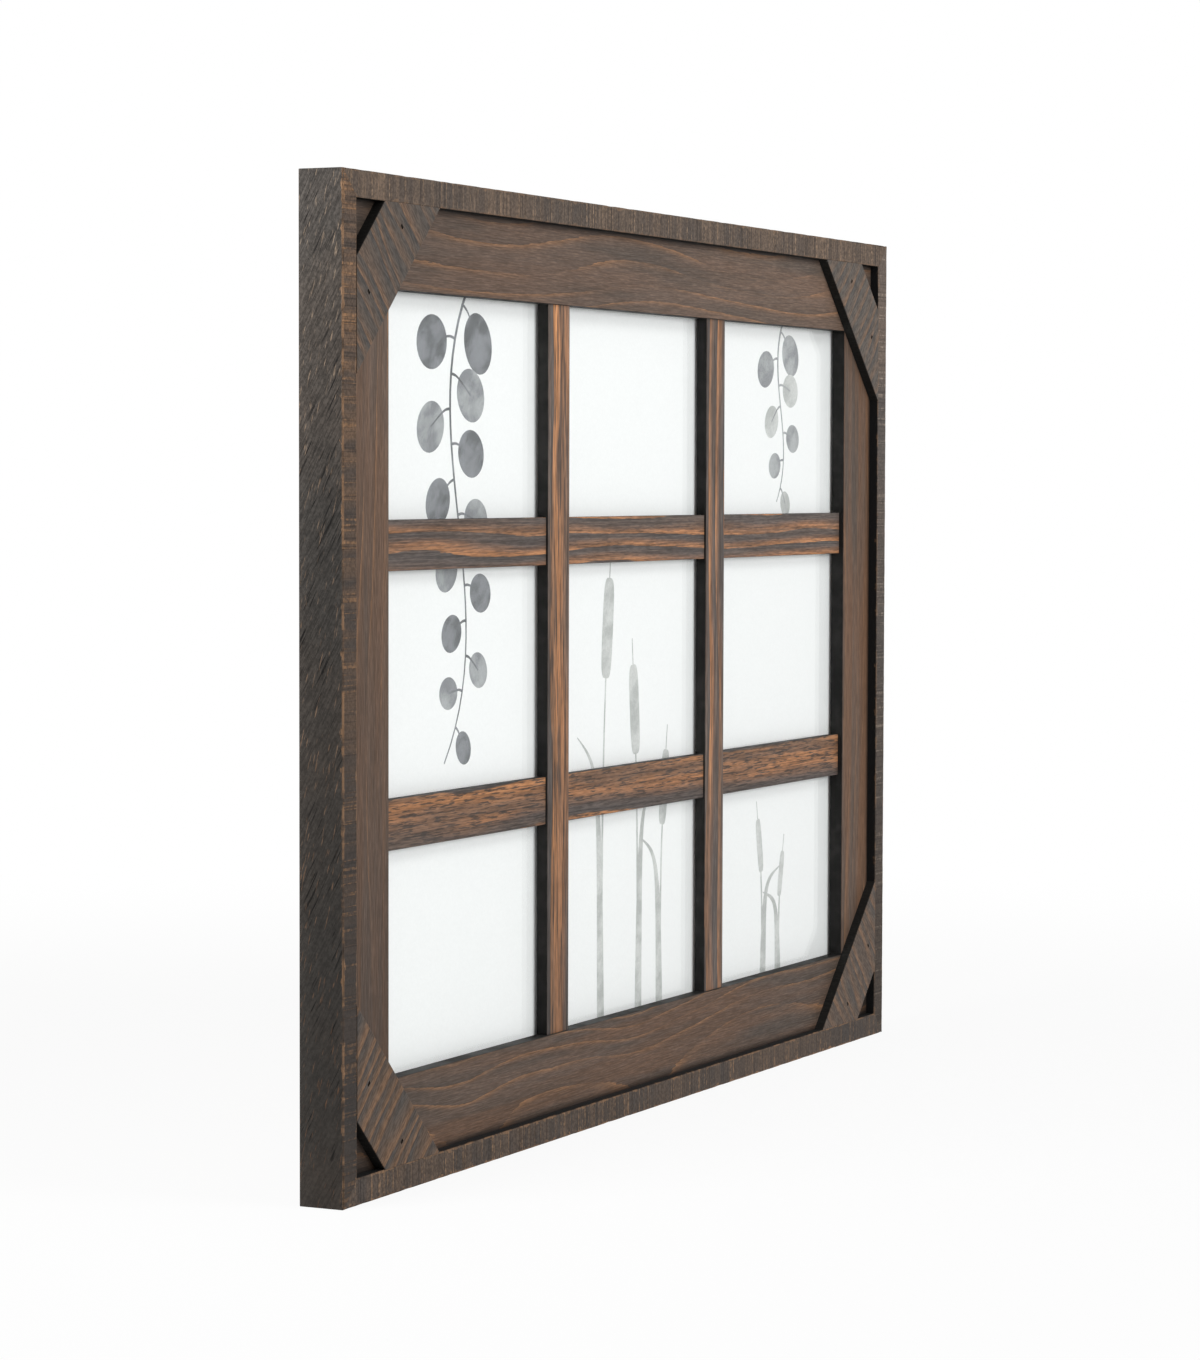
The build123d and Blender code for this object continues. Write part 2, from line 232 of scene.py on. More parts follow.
# Stained softwood of the inner frame, planed smooth: grey-brown and finely flecked, with thin wavy ring lines
# that glow orange beside a darker edge. A painted shadow runs dark along the band, painted shade darkens the
# corners behind the braces, the side faces are painted near black as painted shade, and painted light and
# shade changes the tone from end to end. The flecks are drawn a little wider than pine's, 0.6 mm, so that
# they show.
def stained_softwood(name, turn, seed, rim, wander, sway, lines_from, line_strength, warmth,
                     corner_painted_shade, ends):
    # How sharp the ring lines are, and in millimetres how far the painted shade reaches from the band and
    # from a corner
    line_sharpness = 9.0
    band_shadow_width = 3.0
    corner_dark, corner_clear = 30.0, 55.0

    material, tree, surface = new_material("stained_softwood_" + name)
    plain, coords = grain_coords(tree, turn, seed)
    ring = year_rings(tree, coords, spacing=8.5, wander=wander, sway=sway, spread=45.0, fray=0.45)
    line = node(tree, "Math", {0: ring, 1: line_sharpness}, operation="POWER")
    zone = grain(tree, coords, (180, 180, 7), ease=(lines_from, lines_from + 0.2), to=(0.04, line_strength))
    share = node(tree, "Math", {0: line, 1: zone}, operation="MULTIPLY")
    cloud = grain(tree, coords, (160, 160, 9), ease=(0.35, 0.65))
    ground = node(tree, "Mix", {0: cloud, 6: linear("#635247"), 7: linear("#52473f")}, **rgba)
    glow = grain(tree, coords, (240, 240, 12), ease=(0.42, 0.6), to=(0.0, warmth))
    warmed = node(tree, "Mix", {0: glow, 6: ground, 7: linear("#705039")}, **rgba)
    lined = node(tree, "Mix", {0: share, 6: warmed, 7: linear("#99704f")}, **rgba)
    flat, _ = outward_looks(tree, turn)
    # Painted shade: faces that look sideways are painted near black
    colour = node(tree, "Mix", {0: flat, 6: linear("#282726"), 7: lined}, **rgba)

    shade = node(tree, "MapRange", {0: ring, 1: 0.0, 2: 0.3, 3: 0.9, 4: 1.0})
    fleck = grain(tree, coords, (16, 16, 0.6), ease=(0.36, 0.64), to=(0.8, 1.2), detail=3.0)
    dash = grain(tree, coords, (5.0, 5.0, 0.5), ease=(0.42, 0.68), to=(0.91, 1.24))
    # Painted shadow: within band_shadow_width of the band the colour falls to a tenth, where the band's shade
    # lies
    across = node(tree, "SeparateXYZ", {"Vector": plain}, out="Z")
    inset = node(tree, "Math", {0: across, 1: rim}, operation="SUBTRACT")
    away = node(tree, "Math", {0: inset}, operation="ABSOLUTE")
    pool = node(tree, "MapRange", {0: away, 1: 0.0, 2: band_shadow_width, 3: 0.1, 4: 1.0})

    # Painted shade in the corners behind the braces. The corners are the rails' ends, so distance from a
    # corner is counted from the stiles' rim, and a stile has a corner_painted_shade of 1
    run = node(tree, "SeparateXYZ", {"Vector": plain}, out="X")
    reach = node(tree, "Math", {0: run}, operation="ABSOLUTE")
    behind = node(tree, "Math", {0: away, 1: reach}, operation="SUBTRACT")
    corner = node(tree, "MapRange", {0: behind, 1: corner_dark - stile_rim, 2: corner_clear - stile_rim,
                                     3: corner_painted_shade, 4: 1.0})
    roughness = grain(tree, coords, (14, 14, 0.6), ease=(0.3, 0.7), to=(0.5, 0.66))
    # The last tone sets the piece's tone and paints light and shade from one end to the other
    tones = (shade, fleck, dash, pool, corner, end_to_end(tree, plain, ends))
    finish_wood(tree, surface, colour, tones, roughness, fleck, bump_mm=0.06)
    return material


# Muntin strips: the same stain on boldly ringed wood. Each ring starts orange at a sharp edge and fades to
# slate, and long streaks and short dark pores break it. Both are drawn wider than real ones, so that they
# show: pores from 0.6 mm on the cross strips to 1.5 mm on the uprights, which are seen from the side, and
# streaks a fifth wider.
def banded_softwood(name, turn, seed, spacing, start, glow, calmness, pore, pore_width, porosity, ends):
    material, tree, surface = new_material("banded_softwood_" + name)
    low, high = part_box(name)
    rim = (-low.x if turn else high.z) / MM
    plain, coords = grain_coords(tree, turn, seed, start - rim)
    ring = year_rings(tree, coords, spacing, wander=4.5, sway=120.0, spread=2.2 * abs(spacing), fray=0.35)
    fading = 1.0 - glow
    band = node(tree, "ValToRGB", {"Fac": ring},
                stops=[(0.0, "#67503f"), (0.03, "#a4734d"), (glow, "#966a4a"),
                       (glow + 0.3 * fading, "#725746"), (glow + 0.55 * fading, "#544a45"), (1.0, "#484442")])
    calm = grain(tree, coords, (150, 150, 7), ease=(0.4, 0.62), to=(0.0, calmness))
    calmed = node(tree, "Mix", {0: calm, 6: band, 7: linear("#5d4e44")}, **rgba)
    pores = grain(tree, coords, (pore, pore, pore_width), ease=(0.5, 0.6), to=(0.0, porosity), detail=3.0)
    pored = node(tree, "Mix", {0: pores, 6: calmed, 7: linear("#3d3632")}, **rgba)
    flat, _ = outward_looks(tree, turn)
    # Painted shade: the muntins' side faces are painted near black
    colour = node(tree, "Mix", {0: flat, 6: linear("#252423"), 7: pored}, **rgba)
    streak = grain(tree, coords, (45, 45, 1.2 * pore_width), ease=(0.36, 0.64), to=(0.7, 1.3), detail=3.0)
    fleck = grain(tree, coords, (6.0, 6.0, 0.7), ease=(0.36, 0.64), to=(0.84, 1.17), detail=3.0)
    roughness = grain(tree, coords, (8.0, 8.0, 0.8), ease=(0.3, 0.7), to=(0.48, 0.62))
    # The last tone sets the piece's tone and paints light and shade from one end to the other
    tones = (streak, fleck, end_to_end(tree, plain, ends))
    finish_wood(tree, surface, colour, tones, roughness, fleck, bump_mm=0.06)
    return material


# Rough-sawn band: broken saw lines like ladder rungs across its front, with warmer stretches between them, a
# charcoal outer side scored by slanting tears and pale slivers, and arrises rubbed through to the bare wood.
# Its inner sides are painted near black as painted shade, and painted light and shade changes its front and
# side from end to end. The saw lines are drawn about 1 mm wide so that they show.
def rough_sawn(name, turn, outer, inner, front, seed, warmth, saw_line, rubbing, scoring,
               front_painted_light, side_painted_light):
    # Slant of tears and slivers on the side, and the depths in millimetres between which the side grows
    # lighter towards the back
    tear_angle = math.radians(28)
    sliver_angle = math.radians(13)
    side_front, side_back = -9.0, -1.0

    material, tree, surface = new_material("rough_sawn_softwood_" + name)
    plain, coords = grain_coords(tree, turn, seed)
    patch = grain(tree, coords, (70, 70, 70), ease=(0.35, 0.65))
    depth = end_to_end(tree, plain, scoring)
    crumb = grain(tree, coords, (1.1, 1.1, 1.1), ease=(0.36, 0.64), to=(-0.4, 0.4))
    crumbs = node(tree, "Math", {0: crumb, 1: depth, 2: 1.0}, operation="MULTIPLY_ADD")

    # Front: warm stretches, pale rungs with gaps in them, dark kerfs
    ground = node(tree, "Mix", {0: patch, 6: linear("#423d3a"), 7: linear("#4e443d")}, **rgba)
    block = grain(tree, coords, (5.0, 40, 40), ease=(0.36, 0.66), to=(0.2, 1.0), detail=3.0)
    warmed = node(tree, "Math", {0: block, 1: end_to_end(tree, plain, warmth)}, operation="MULTIPLY")
    blocked = node(tree, "Mix", {0: warmed, 6: ground, 7: linear(saw_line)}, **rgba)
    rung = grain(tree, coords, (1.0, 60, 60), ease=(0.56, 0.67), detail=1.0)
    gap = grain(tree, coords, (3.0, 2.2, 2.2), ease=(0.42, 0.6), to=(0.15, 1.0))
    broken = node(tree, "Math", {0: rung, 1: gap}, operation="MULTIPLY")
    lit = node(tree, "Math", {0: broken, 1: depth}, operation="MULTIPLY")
    runged = node(tree, "Mix", {0: lit, 6: blocked, 7: linear(saw_line)}, **rgba)
    kerf = grain(tree, coords, (0.9, 60, 60), ease=(0.45, 0.34))
    shaded = node(tree, "Math", {0: kerf, 1: depth}, operation="MULTIPLY")
    kerfed = node(tree, "Mix", {0: shaded, 6: runged, 7: linear("#2a2523")}, **rgba)
    crumbed = node(tree, "VectorMath", {0: kerfed, 3: crumbs}, operation="SCALE")
    # front_painted_light sets the front's tone and paints light and shade from one end to the other
    face = node(tree, "VectorMath", {0: crumbed, 3: end_to_end(tree, plain, front_painted_light)}, operation="SCALE")

    # Outer side: slanting tears, black gouges in scored stretches, pale slivers, lighter towards the back
    slant = node(tree, "Mapping", {"Vector": coords, "Rotation": (0, 0, tear_angle)})
    steep = node(tree, "Mapping", {"Vector": coords, "Rotation": (0, 0, sliver_angle)})
    dyed = node(tree, "Mix", {0: patch, 6: linear("#373431"), 7: linear("#403a35")}, **rgba)
    tear = grain(tree, slant, (7, 0.7, 40), ease=(0.36, 0.64), to=(-0.42, 0.42), detail=3.0)
    tears = node(tree, "Math", {0: tear, 1: depth, 2: 1.0}, operation="MULTIPLY_ADD")
    torn = node(tree, "VectorMath", {0: dyed, 3: tears}, operation="SCALE")
    scored = grain(tree, coords, (30, 9, 40), ease=(0.44, 0.6))
    gouge = grain(tree, slant, (14, 0.7, 40), ease=(0.44, 0.34), to=(0.0, 0.95))
    cut = node(tree, "Math", {0: gouge, 1: scored}, operation="MULTIPLY")
    gouged = node(tree, "Mix", {0: cut, 6: torn, 7: linear("#0f0d0c")}, **rgba)
    height = end_to_end(tree, plain, (0.0, 1.0))
    pale = node(tree, "Mix", {0: height, 6: linear("#75553f"), 7: linear("#857463")}, **rgba)
    sliver = grain(tree, steep, (7, 0.65, 40), ease=(0.64, 0.76), to=(0.0, 0.6), detail=1.0)
    splintered = node(tree, "Mix", {0: sliver, 6: gouged, 7: pale}, **rgba)
    rough = node(tree, "VectorMath", {0: splintered, 3: crumbs}, operation="SCALE")
    back = node(tree, "SeparateXYZ", {"Vector": plain}, out="Y")
    lighter_to_back = node(tree, "MapRange", {0: back, 1: side_front, 2: side_back, 3: 0.95, 4: 1.18})
    faded = node(tree, "VectorMath", {0: rough, 3: lighter_to_back}, operation="SCALE")
    # side_painted_light sets the side's tone and paints light and shade from one end to the other
    side = node(tree, "VectorMath", {0: faded, 3: end_to_end(tree, plain, side_painted_light)}, operation="SCALE")

    flat, across = outward_looks(tree, turn)
    outward = node(tree, "Math", {0: across, 1: math.copysign(1.0, outer)}, operation="MULTIPLY")
    turned_out = node(tree, "MapRange", {0: outward, 1: inner_look, 2: outer_look},
                      interpolation_type="SMOOTHSTEP")
    # Painted shade: the inner sides, which face the opening, are painted near black; the outer side keeps its
    # own look
    edges = node(tree, "Mix", {0: turned_out, 6: linear("#171717"), 7: side}, **rgba)
    worn = node(tree, "Mix", {0: flat, 6: edges, 7: face}, **rgba)

    # Arrises: where each lies across the piece, how far its rubbing reaches in millimetres, and its strength
    section = node(tree, "VectorMath", {0: plain, 1: (0, 1, 1)}, operation="MULTIPLY")
    for place, reach, strength in ((outer, 0.9, rubbing), (inner, 0.7, 0.8 * rubbing)):
        apart = node(tree, "VectorMath", {0: section, 1: (0, front, place)}, out="Value",
                     operation="DISTANCE")
        chip = grain(tree, coords, (4, 2, 2), ease=(0.54, 0.7))
        spread = node(tree, "Math", {0: apart, 1: chip}, operation="SUBTRACT")
        near = node(tree, "MapRange", {0: spread, 1: reach, 2: 0.5 * reach}, interpolation_type="SMOOTHSTEP")
        chipped = grain(tree, coords, (6, 40, 40), ease=(0.42, 0.6), to=(0.08 * strength, strength),
                        detail=4.0)
        rubbed = node(tree, "Math", {0: near, 1: chipped}, operation="MULTIPLY")
        worn = node(tree, "Mix", {0: rubbed, 6: worn, 7: linear("#9b7758")}, **rgba)

    relief = node(tree, "Mix", {0: flat, 2: tears, 3: rung}, data_type="FLOAT")
    finish_wood(tree, surface, worn, (), 0.74, relief, bump_mm=0.18)
    return material


# Corner braces: offcuts with their rings square across their length, tan lines beside slate-dark ones. The
# flecks are drawn 0.8 mm wide so that they show.
def saw_striped(name, turn, seed, spacing, tone, calmness, calm_colour):
    material, tree, surface = new_material("saw_striped_softwood_" + name)
    _, coords = grain_coords(tree, turn, seed)
    ring = year_rings(tree, coords, spacing, wander=6.0, sway=60.0, spread=2.2 * spacing, fray=0.5)
    stripe = node(tree, "ValToRGB", {"Fac": ring},
                  stops=[(0.0, "#54483f"), (0.1, "#836650"), (0.26, "#755d4c"), (0.44, "#5e5249"),
                         (0.62, "#564e48"), (0.76, "#4b4947"), (1.0, "#464544")])
    calm = grain(tree, coords, (18, 18, 8), ease=(0.4, 0.64), to=(calmness, 0.35 * calmness))
    calmed = node(tree, "Mix", {0: calm, 6: stripe, 7: linear(calm_colour)}, **rgba)
    flat, _ = outward_looks(tree, turn)
    # Painted shade: the braces' side faces are painted near black
    colour = node(tree, "Mix", {0: flat, 6: linear("#1d1c1a"), 7: calmed}, **rgba)
    fleck = grain(tree, coords, (4.0, 4.0, 0.8), ease=(0.36, 0.64), to=(0.74, 1.26), detail=3.0)
    finish_wood(tree, surface, colour, (tone, fleck), 0.7, fleck, bump_mm=0.1)
    return material


# Coated picture glass: clear and smooth. The coating halves its reflections, so its IOR is set below 1.5.
def coated_glass():
    material, tree, surface = new_material("coated_picture_glass")
    shadow = node(tree, "LightPath", out="Is Shadow Ray")
    diffuse = node(tree, "LightPath", out="Is Diffuse Ray")
    passing = node(tree, "Math", {0: shadow, 1: diffuse}, operation="MAXIMUM")
    pane = node(tree, "BsdfPrincipled", {"Base Color": linear("#ffffff"), "Roughness": 0.0, "IOR": 1.2,
                                         "Transmission Weight": 1.0})
    clear = node(tree, "BsdfTransparent", {"Color": linear("#f9fafa")})
    tree.links.new(node(tree, "MixShader", {0: passing, 1: pane, 2: clear}), surface)
    return material


# Matt print paper: white with a trace of felt mottle
def print_paper():
    material, tree, surface = new_material("matt_print_paper")
    _, coords = grain_coords(tree, 0.0, 1)
    felt = grain(tree, coords, (1.2, 1.2, 1.2), detail=3.0)
    colour = node(tree, "Mix", {0: felt, 6: linear("#f4f5f4"), 7: linear("#fafbfa")}, **rgba)
    bump = node(tree, "Bump", {"Height": felt, "Strength": 1.0, "Distance": 0.02 * MM})
    paper = node(tree, "BsdfPrincipled", {"Base Color": colour, "Roughness": 0.9, "Specular IOR Level": 0.2,
                                          "Normal": bump})
    tree.links.new(paper, surface)
    return material


# Grey ink wash on the paper: pooled darker in soft patches, with the felt showing through
def ink_wash(name, pooled, thin, seed):
    material, tree, surface = new_material("grey_ink_wash_" + name)
    _, coords = grain_coords(tree, 0.5, seed)
    pool = grain(tree, coords, (14, 14, 9), ease=(0.35, 0.65), detail=3.0)
    washed = node(tree, "Mix", {0: pool, 6: linear(pooled), 7: linear(thin)}, **rgba)
    felt = grain(tree, coords, (1.2, 1.2, 1.2), ease=(0.3, 0.7), to=(0.93, 1.07), detail=3.0)
    colour = node(tree, "VectorMath", {0: washed, 3: felt}, operation="SCALE")
    wash = node(tree, "BsdfPrincipled", {"Base Color": colour, "Roughness": 0.9, "Specular IOR Level": 0.2})
    tree.links.new(wash, surface)
    return material


# Bare fibreboard: pressed brown fibre, matt. The fibres are drawn about 1 mm long so that they show.
def bare_fibreboard():
    material, tree, surface = new_material("bare_fibreboard")
    _, coords = grain_coords(tree, 0.0, 2)
    fibre = grain(tree, coords, (1.1, 1.1, 0.7), ease=(0.3, 0.7), detail=4.0)
    pressed = node(tree, "Mix", {0: fibre, 6: linear("#97775a"), 7: linear("#b8977a")}, **rgba)
    cloud = grain(tree, coords, (40, 40, 40), ease=(0.35, 0.65), to=(0.95, 1.04))
    colour = node(tree, "VectorMath", {0: pressed, 3: cloud}, operation="SCALE")
    bump = node(tree, "Bump", {"Height": fibre, "Strength": 1.0, "Distance": 0.06 * MM})
    board = node(tree, "BsdfPrincipled", {"Base Color": colour, "Roughness": 0.85, "Specular IOR Level": 0.3,
                                          "Normal": bump})
    tree.links.new(board, surface)
    return material


# Zinc-plated steel: bright plate with a faint blue cast and rolling scratches
def zinc_plate():
    material, tree, surface = new_material("zinc_plated_steel")
    _, coords = grain_coords(tree, 0.6, 3)
    scratch = grain(tree, coords, (6.0, 0.2, 0.2), ease=(0.25, 0.75), detail=3.0)
    cloud = grain(tree, coords, (4.0, 4.0, 4.0), ease=(0.35, 0.65))
    colour = node(tree, "Mix", {0: cloud, 6: linear("#a3a7ab"), 7: linear("#b4b7b9")}, **rgba)
    roughness = node(tree, "MapRange", {0: scratch, 3: 0.18, 4: 0.32})
    bump = node(tree, "Bump", {"Height": scratch, "Strength": 1.0, "Distance": 0.01 * MM})
    plate = node(tree, "BsdfPrincipled", {"Base Color": colour, "Metallic": 1.0, "Roughness": roughness,
                                          "Normal": bump})
    tree.links.new(plate, surface)
    return material


# Plain wire-nail steel: dull and dark from the stain that ran over it
def nail_steel():
    material, tree, surface = new_material("stained_nail_steel")
    _, coords = grain_coords(tree, 0.3, 4)
    rust = grain(tree, coords, (0.6, 0.6, 0.6), ease=(0.3, 0.7), detail=3.0)
    colour = node(tree, "Mix", {0: rust, 6: linear("#1c1a18"), 7: linear("#3a322c")}, **rgba)
    roughness = node(tree, "MapRange", {0: rust, 3: 0.45, 4: 0.65})
    steel = node(tree, "BsdfPrincipled", {"Base Color": colour, "Metallic": 1.0, "Roughness": roughness})
    tree.links.new(steel, surface)
    return material


def coat(name, material):
    """Gives a CAD node one material in all its slots."""
    data = nodes[name].data
    data.materials.clear()
    data.materials.append(material)


def mesh_object(name, shape, materials):
    """An object at the origin from a bmesh and its materials."""
    mesh = bpy.data.meshes.new(name)
    shape.to_mesh(mesh)
    shape.free()
    for material in materials:
        mesh.materials.append(material)
    made = bpy.data.objects.new(name, mesh)
    scene.collection.objects.link(made)
    return made


def new_piece(name, shape, materials, replaced):
    """A finished piece from a bmesh, which stands for a CAD node on the frame."""
    piece = mesh_object(name, shape, materials)
    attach(piece, "frame")
    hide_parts(replaced)


def brush_stroke(start, pull, push, stop, root, tip):
    """Outline of a brush stroke from one width to another along a curve, and the curve, in millimetres."""
    line = interpolate_bezier(*(Vector(point) for point in (start, pull, push, stop)), stroke_points)
    left, right = [], []
    for k, point in enumerate(line):
        ahead = line[min(k + 1, stroke_points - 1)] - line[max(k - 1, 0)]
        half = ahead.orthogonal().normalized() * (root + (tip - root) * k / (stroke_points - 1)) / 2
        left.append(point + half)
        right.append(point - half)
    return right + left[::-1], line


def brush_blot(middle, length, width, tilt, fullness):
    """Outline of a rounded blot: an ellipse at fullness 2, nearly a capsule at 4."""
    outline = []
    for k in range(stroke_points):
        angle = 2 * math.pi * k / stroke_points
        cos, sin = math.cos(angle), math.sin(angle)
        point = Vector((math.copysign(abs(cos) ** (2 / fullness), cos) * length / 2,
                        math.copysign(abs(sin) ** (2 / fullness), sin) * width / 2))
        point.rotate(Matrix.Rotation(tilt, 2))
        outline.append(Vector(middle) + point)
    return outline


def hanging_vine(start, pull, push, stop, leaves, biggest, smallest, washes):
    """A stem that hangs down with round leaves on short stalks, left and right in turn."""
    # Shares of a leaf's size: how far out and down its middle lies, where its stalk bends, and its width
    leaf_out = 0.72
    leaf_down = 0.28
    stalk_bend = 0.2
    leaf_width = 0.86
    leaf_droop = 0.4

    outline, line = brush_stroke(start, pull, push, stop, root=1.8, tip=0.9)
    shapes = [(washes[0], outline)]
    for k in range(leaves):
        share = (k + 0.6) / leaves
        at = round(share * (stroke_points - 2))
        size = biggest + (smallest - biggest) * share
        down = (line[at + 1] - line[at]).normalized()
        side = Vector((down.y, -down.x)) * (1 if k % 2 else -1)
        middle = line[at] + side * leaf_out * size + down * leaf_down * size
        bend = line[at] + side * stalk_bend * size
        stalk, _ = brush_stroke(line[at], bend, bend, middle, root=1.2, tip=0.8)
        lean = side + leaf_droop * down
        leaf = brush_blot(middle, size, leaf_width * size, math.atan2(lean.y, lean.x), fullness=2.0)
        shapes.append((washes[k // 2 % 2], leaf))
        shapes.append((washes[0], stalk))
    return shapes


def standing_reed(foot, lean, height, head, wash):
    """A reed with a long round head below its tip, and a blade that bends away from it. The points of its
    curves are given as shares of its lean and height."""
    bare_tip = 10
    top = Vector((foot[0] + lean, foot[1] + height))
    knee = Vector((foot[0] + 0.2 * lean, foot[1] + 0.6 * height))
    stem, line = brush_stroke(foot, knee, knee, top, root=2.2, tip=0.9)
    share = 1 - (0.5 * head + bare_tip) / height
    middle = line[round(share * (stroke_points - 1))]
    tilt = math.atan2((top - middle).y, (top - middle).x)
    blade_tip = Vector((foot[0] - 2.6 * lean, foot[1] + 0.62 * height))
    bend = Vector((foot[0] - 0.2 * lean, foot[1] + 0.55 * height))
    blade, _ = brush_stroke(foot, bend, bend, blade_tip, root=7.0, tip=0.5)
    return [(wash, blade), (wash, stem), (wash, brush_blot(middle, head, 0.24 * head, tilt, fullness=4.0))]


def printed_sheet():
    """The print: paper cut along the outlines of its washes, so that each wash is part of the sheet."""
    low, high = (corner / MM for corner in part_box("print_sheet"))
    foot = low.z + print_margin
    crown = high.z - print_margin
    dark, mid, pale = 1, 2, 3
    shapes = hanging_vine((-150, crown), (-196, 95), (-118, 30), (-170, -34),
                          leaves=13, biggest=27.0, smallest=14.0, washes=(dark, mid))
    shapes += hanging_vine((172, crown), (150, 128), (188, 100), (164, 70),
                           leaves=7, biggest=22.0, smallest=12.0, washes=(mid, pale))

    # Reeds: place along the foot, lean, height, head
    reeds = ((-26, 9, 205, 44), (12, -7, 168, 40), (34, 8, 128, 34), (150, -8, 86, 26), (168, 7, 68, 22))
    for place, lean, height, head in reeds:
        shapes += standing_reed((place, foot), lean, height, head, pale)

    points = [Vector(corner) for corner in ((low.x, low.z), (high.x, low.z),
                                            (high.x, high.z), (low.x, high.z))]
    loops = [list(range(4))]
    for _, outline in shapes:
        loops.append(list(range(len(points), len(points) + len(outline))))
        points += outline
    places, _, corners, _, _, owners = delaunay_2d_cdt(points, [], loops, 0, 0.001)

    shape = bmesh.new()
    verts = [shape.verts.new((place.x * MM, high.y * MM, place.y * MM)) for place in places]
    for corner, owner in zip(corners, owners):
        face = shape.faces.new([verts[k] for k in corner])
        top = max(owner)
        face.material_index = shapes[top - 1][0] if top else 0
    front = bmesh.ops.extrude_face_region(shape, geom=list(shape.faces))["geom"]
    moved = [part for part in front if isinstance(part, bmesh.types.BMVert)]
    bmesh.ops.translate(shape, verts=moved, vec=(0, (low.y - high.y) * MM, 0))
    bmesh.ops.recalc_face_normals(shape, faces=shape.faces)
    for face in shape.faces:
        if face.normal.y > -0.5:
            face.material_index = 0
    washes = [ink_wash("dark", "#55585a", "#83868a", 21), ink_wash("mid", "#808386", "#a8abac", 22),
              ink_wash("pale", "#b0b3b0", "#cdcfcc", 23)]
    new_piece("printed_sheet", shape, [print_paper(), *washes], "print_sheet")


def cut_across(shape, faces, direction, first, last, step):
    """Cuts faces by even planes square to a direction, and returns all the faces that come of them."""
    count = round((last - first) / step)
    done = []
    ahead = faces
    for k in range(1, count):
        place = first + (last - first) * k / count
        around = dict.fromkeys(part for face in ahead for part in (*face.verts, *face.edges))
        cut = bmesh.ops.bisect_plane(shape, geom=[*around, *ahead], dist=weld_distance,
                                     plane_co=direction * place, plane_no=direction)
        found = [part for part in cut["geom"] if isinstance(part, bmesh.types.BMFace)]
        ahead = [face for face in found if face.calc_center_median().dot(direction) > place]
        done += [face for face in found if face.calc_center_median().dot(direction) <= place]
    return done + ahead


def sawn_member(side, along, outward, material):
    """A band member as the saw left it: its CAD shape cut fine, with marks, tears and chips pressed in."""
    name = "band_" + side
    low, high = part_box(name)
    forward = Vector((0, -1, 0))
    shape = bmesh.new()
    shape.from_mesh(nodes[name].data)
    bmesh.ops.remove_doubles(shape, verts=shape.verts, dist=weld_distance)
    faces = cut_across(shape, list(shape.faces), along, low.dot(along), high.dot(along), slice_length)
    cut_across(shape, faces, -forward, low.y, high.y, slice_depth)
    shape.normal_update()

    # Each kind of mark has a noise of its own (0, 3 and 7), and chips lie on the outer front arris only
    for vert in shape.verts:
        to_front = max(0.0, vert.normal.dot(forward))
        to_outside = max(0.0, vert.normal.dot(outward))
        place = vert.co / MM
        run = place.dot(along)
        slant = run + place.y * math.tan(tear_slant)
        chip_place = (run / chip_length, place.y / chip_width, 3.0 + place.dot(outward) / chip_width)
        saw = saw_mark * (0.5 + 0.5 * noise.noise((run / saw_pitch, place.y / saw_sweep, 0.0)))
        tear = tear_depth * max(0.0, noise.noise((slant / tear_length, place.y / tear_width, 7.0)))
        chip = chip_depth * max(0.0, noise.noise(chip_place) - 0.1)
        arris = 4.0 * (to_front * to_outside) ** 2
        press = saw * to_front + tear * to_outside + chip * arris
        vert.co -= (forward * to_front + outward * to_outside) * press
    new_piece("sawn_band_" + side, shape, [material], name)


# Outer band: name, turn, place of the outer arris across it in its turned axes, direction along, and outwards
along_x, along_z = Vector((1, 0, 0)), Vector((0, 0, 1))
members = (("top", 0.0, half_height, along_x, along_z),
           ("bottom", 0.0, -half_height, along_x, -along_z),
           ("left", quarter, half_width, along_z, -along_x),
           ("right", quarter, -half_width, along_z, along_x))

# Its stain, and the painted light and shade on its front and side: a pair goes from the member's left or
# lower end to the other
stains_and_painted_light = {"top": {"warmth": (0.2, 0.14), "saw_line": "#998069", "rubbing": 0.25, "scoring": (0.55, 0.58),
                  "front_painted_light": (1.0, 1.1), "side_painted_light": (1.1, 1.1)},
          "bottom": {"warmth": (0.17, 0.05), "saw_line": "#9a7a5d", "rubbing": 0.6, "scoring": (0.6, 0.44),
                     "front_painted_light": (0.92, 1.04), "side_painted_light": (1.1, 1.1)},
          "left": {"warmth": (0.0, 0.3), "saw_line": "#a27a57", "rubbing": 0.5, "scoring": (0.3, 0.58),
                   "front_painted_light": (0.6, 0.86), "side_painted_light": (1.02, 1.0)},
          "right": {"warmth": (0.05, 0.1), "saw_line": "#8f8275", "rubbing": 0.3, "scoring": (0.48, 0.42),
                    "front_painted_light": (0.65, 1.5), "side_painted_light": (0.98, 0.98)}}
for seed, (side, turn, outer, along, outward) in enumerate(members, 1):
    inner = outer - math.copysign(band_width, outer)
    material = rough_sawn(side, turn, outer, inner, band_front, seed, **stains_and_painted_light[side])
    sawn_member(side, along, outward, material)

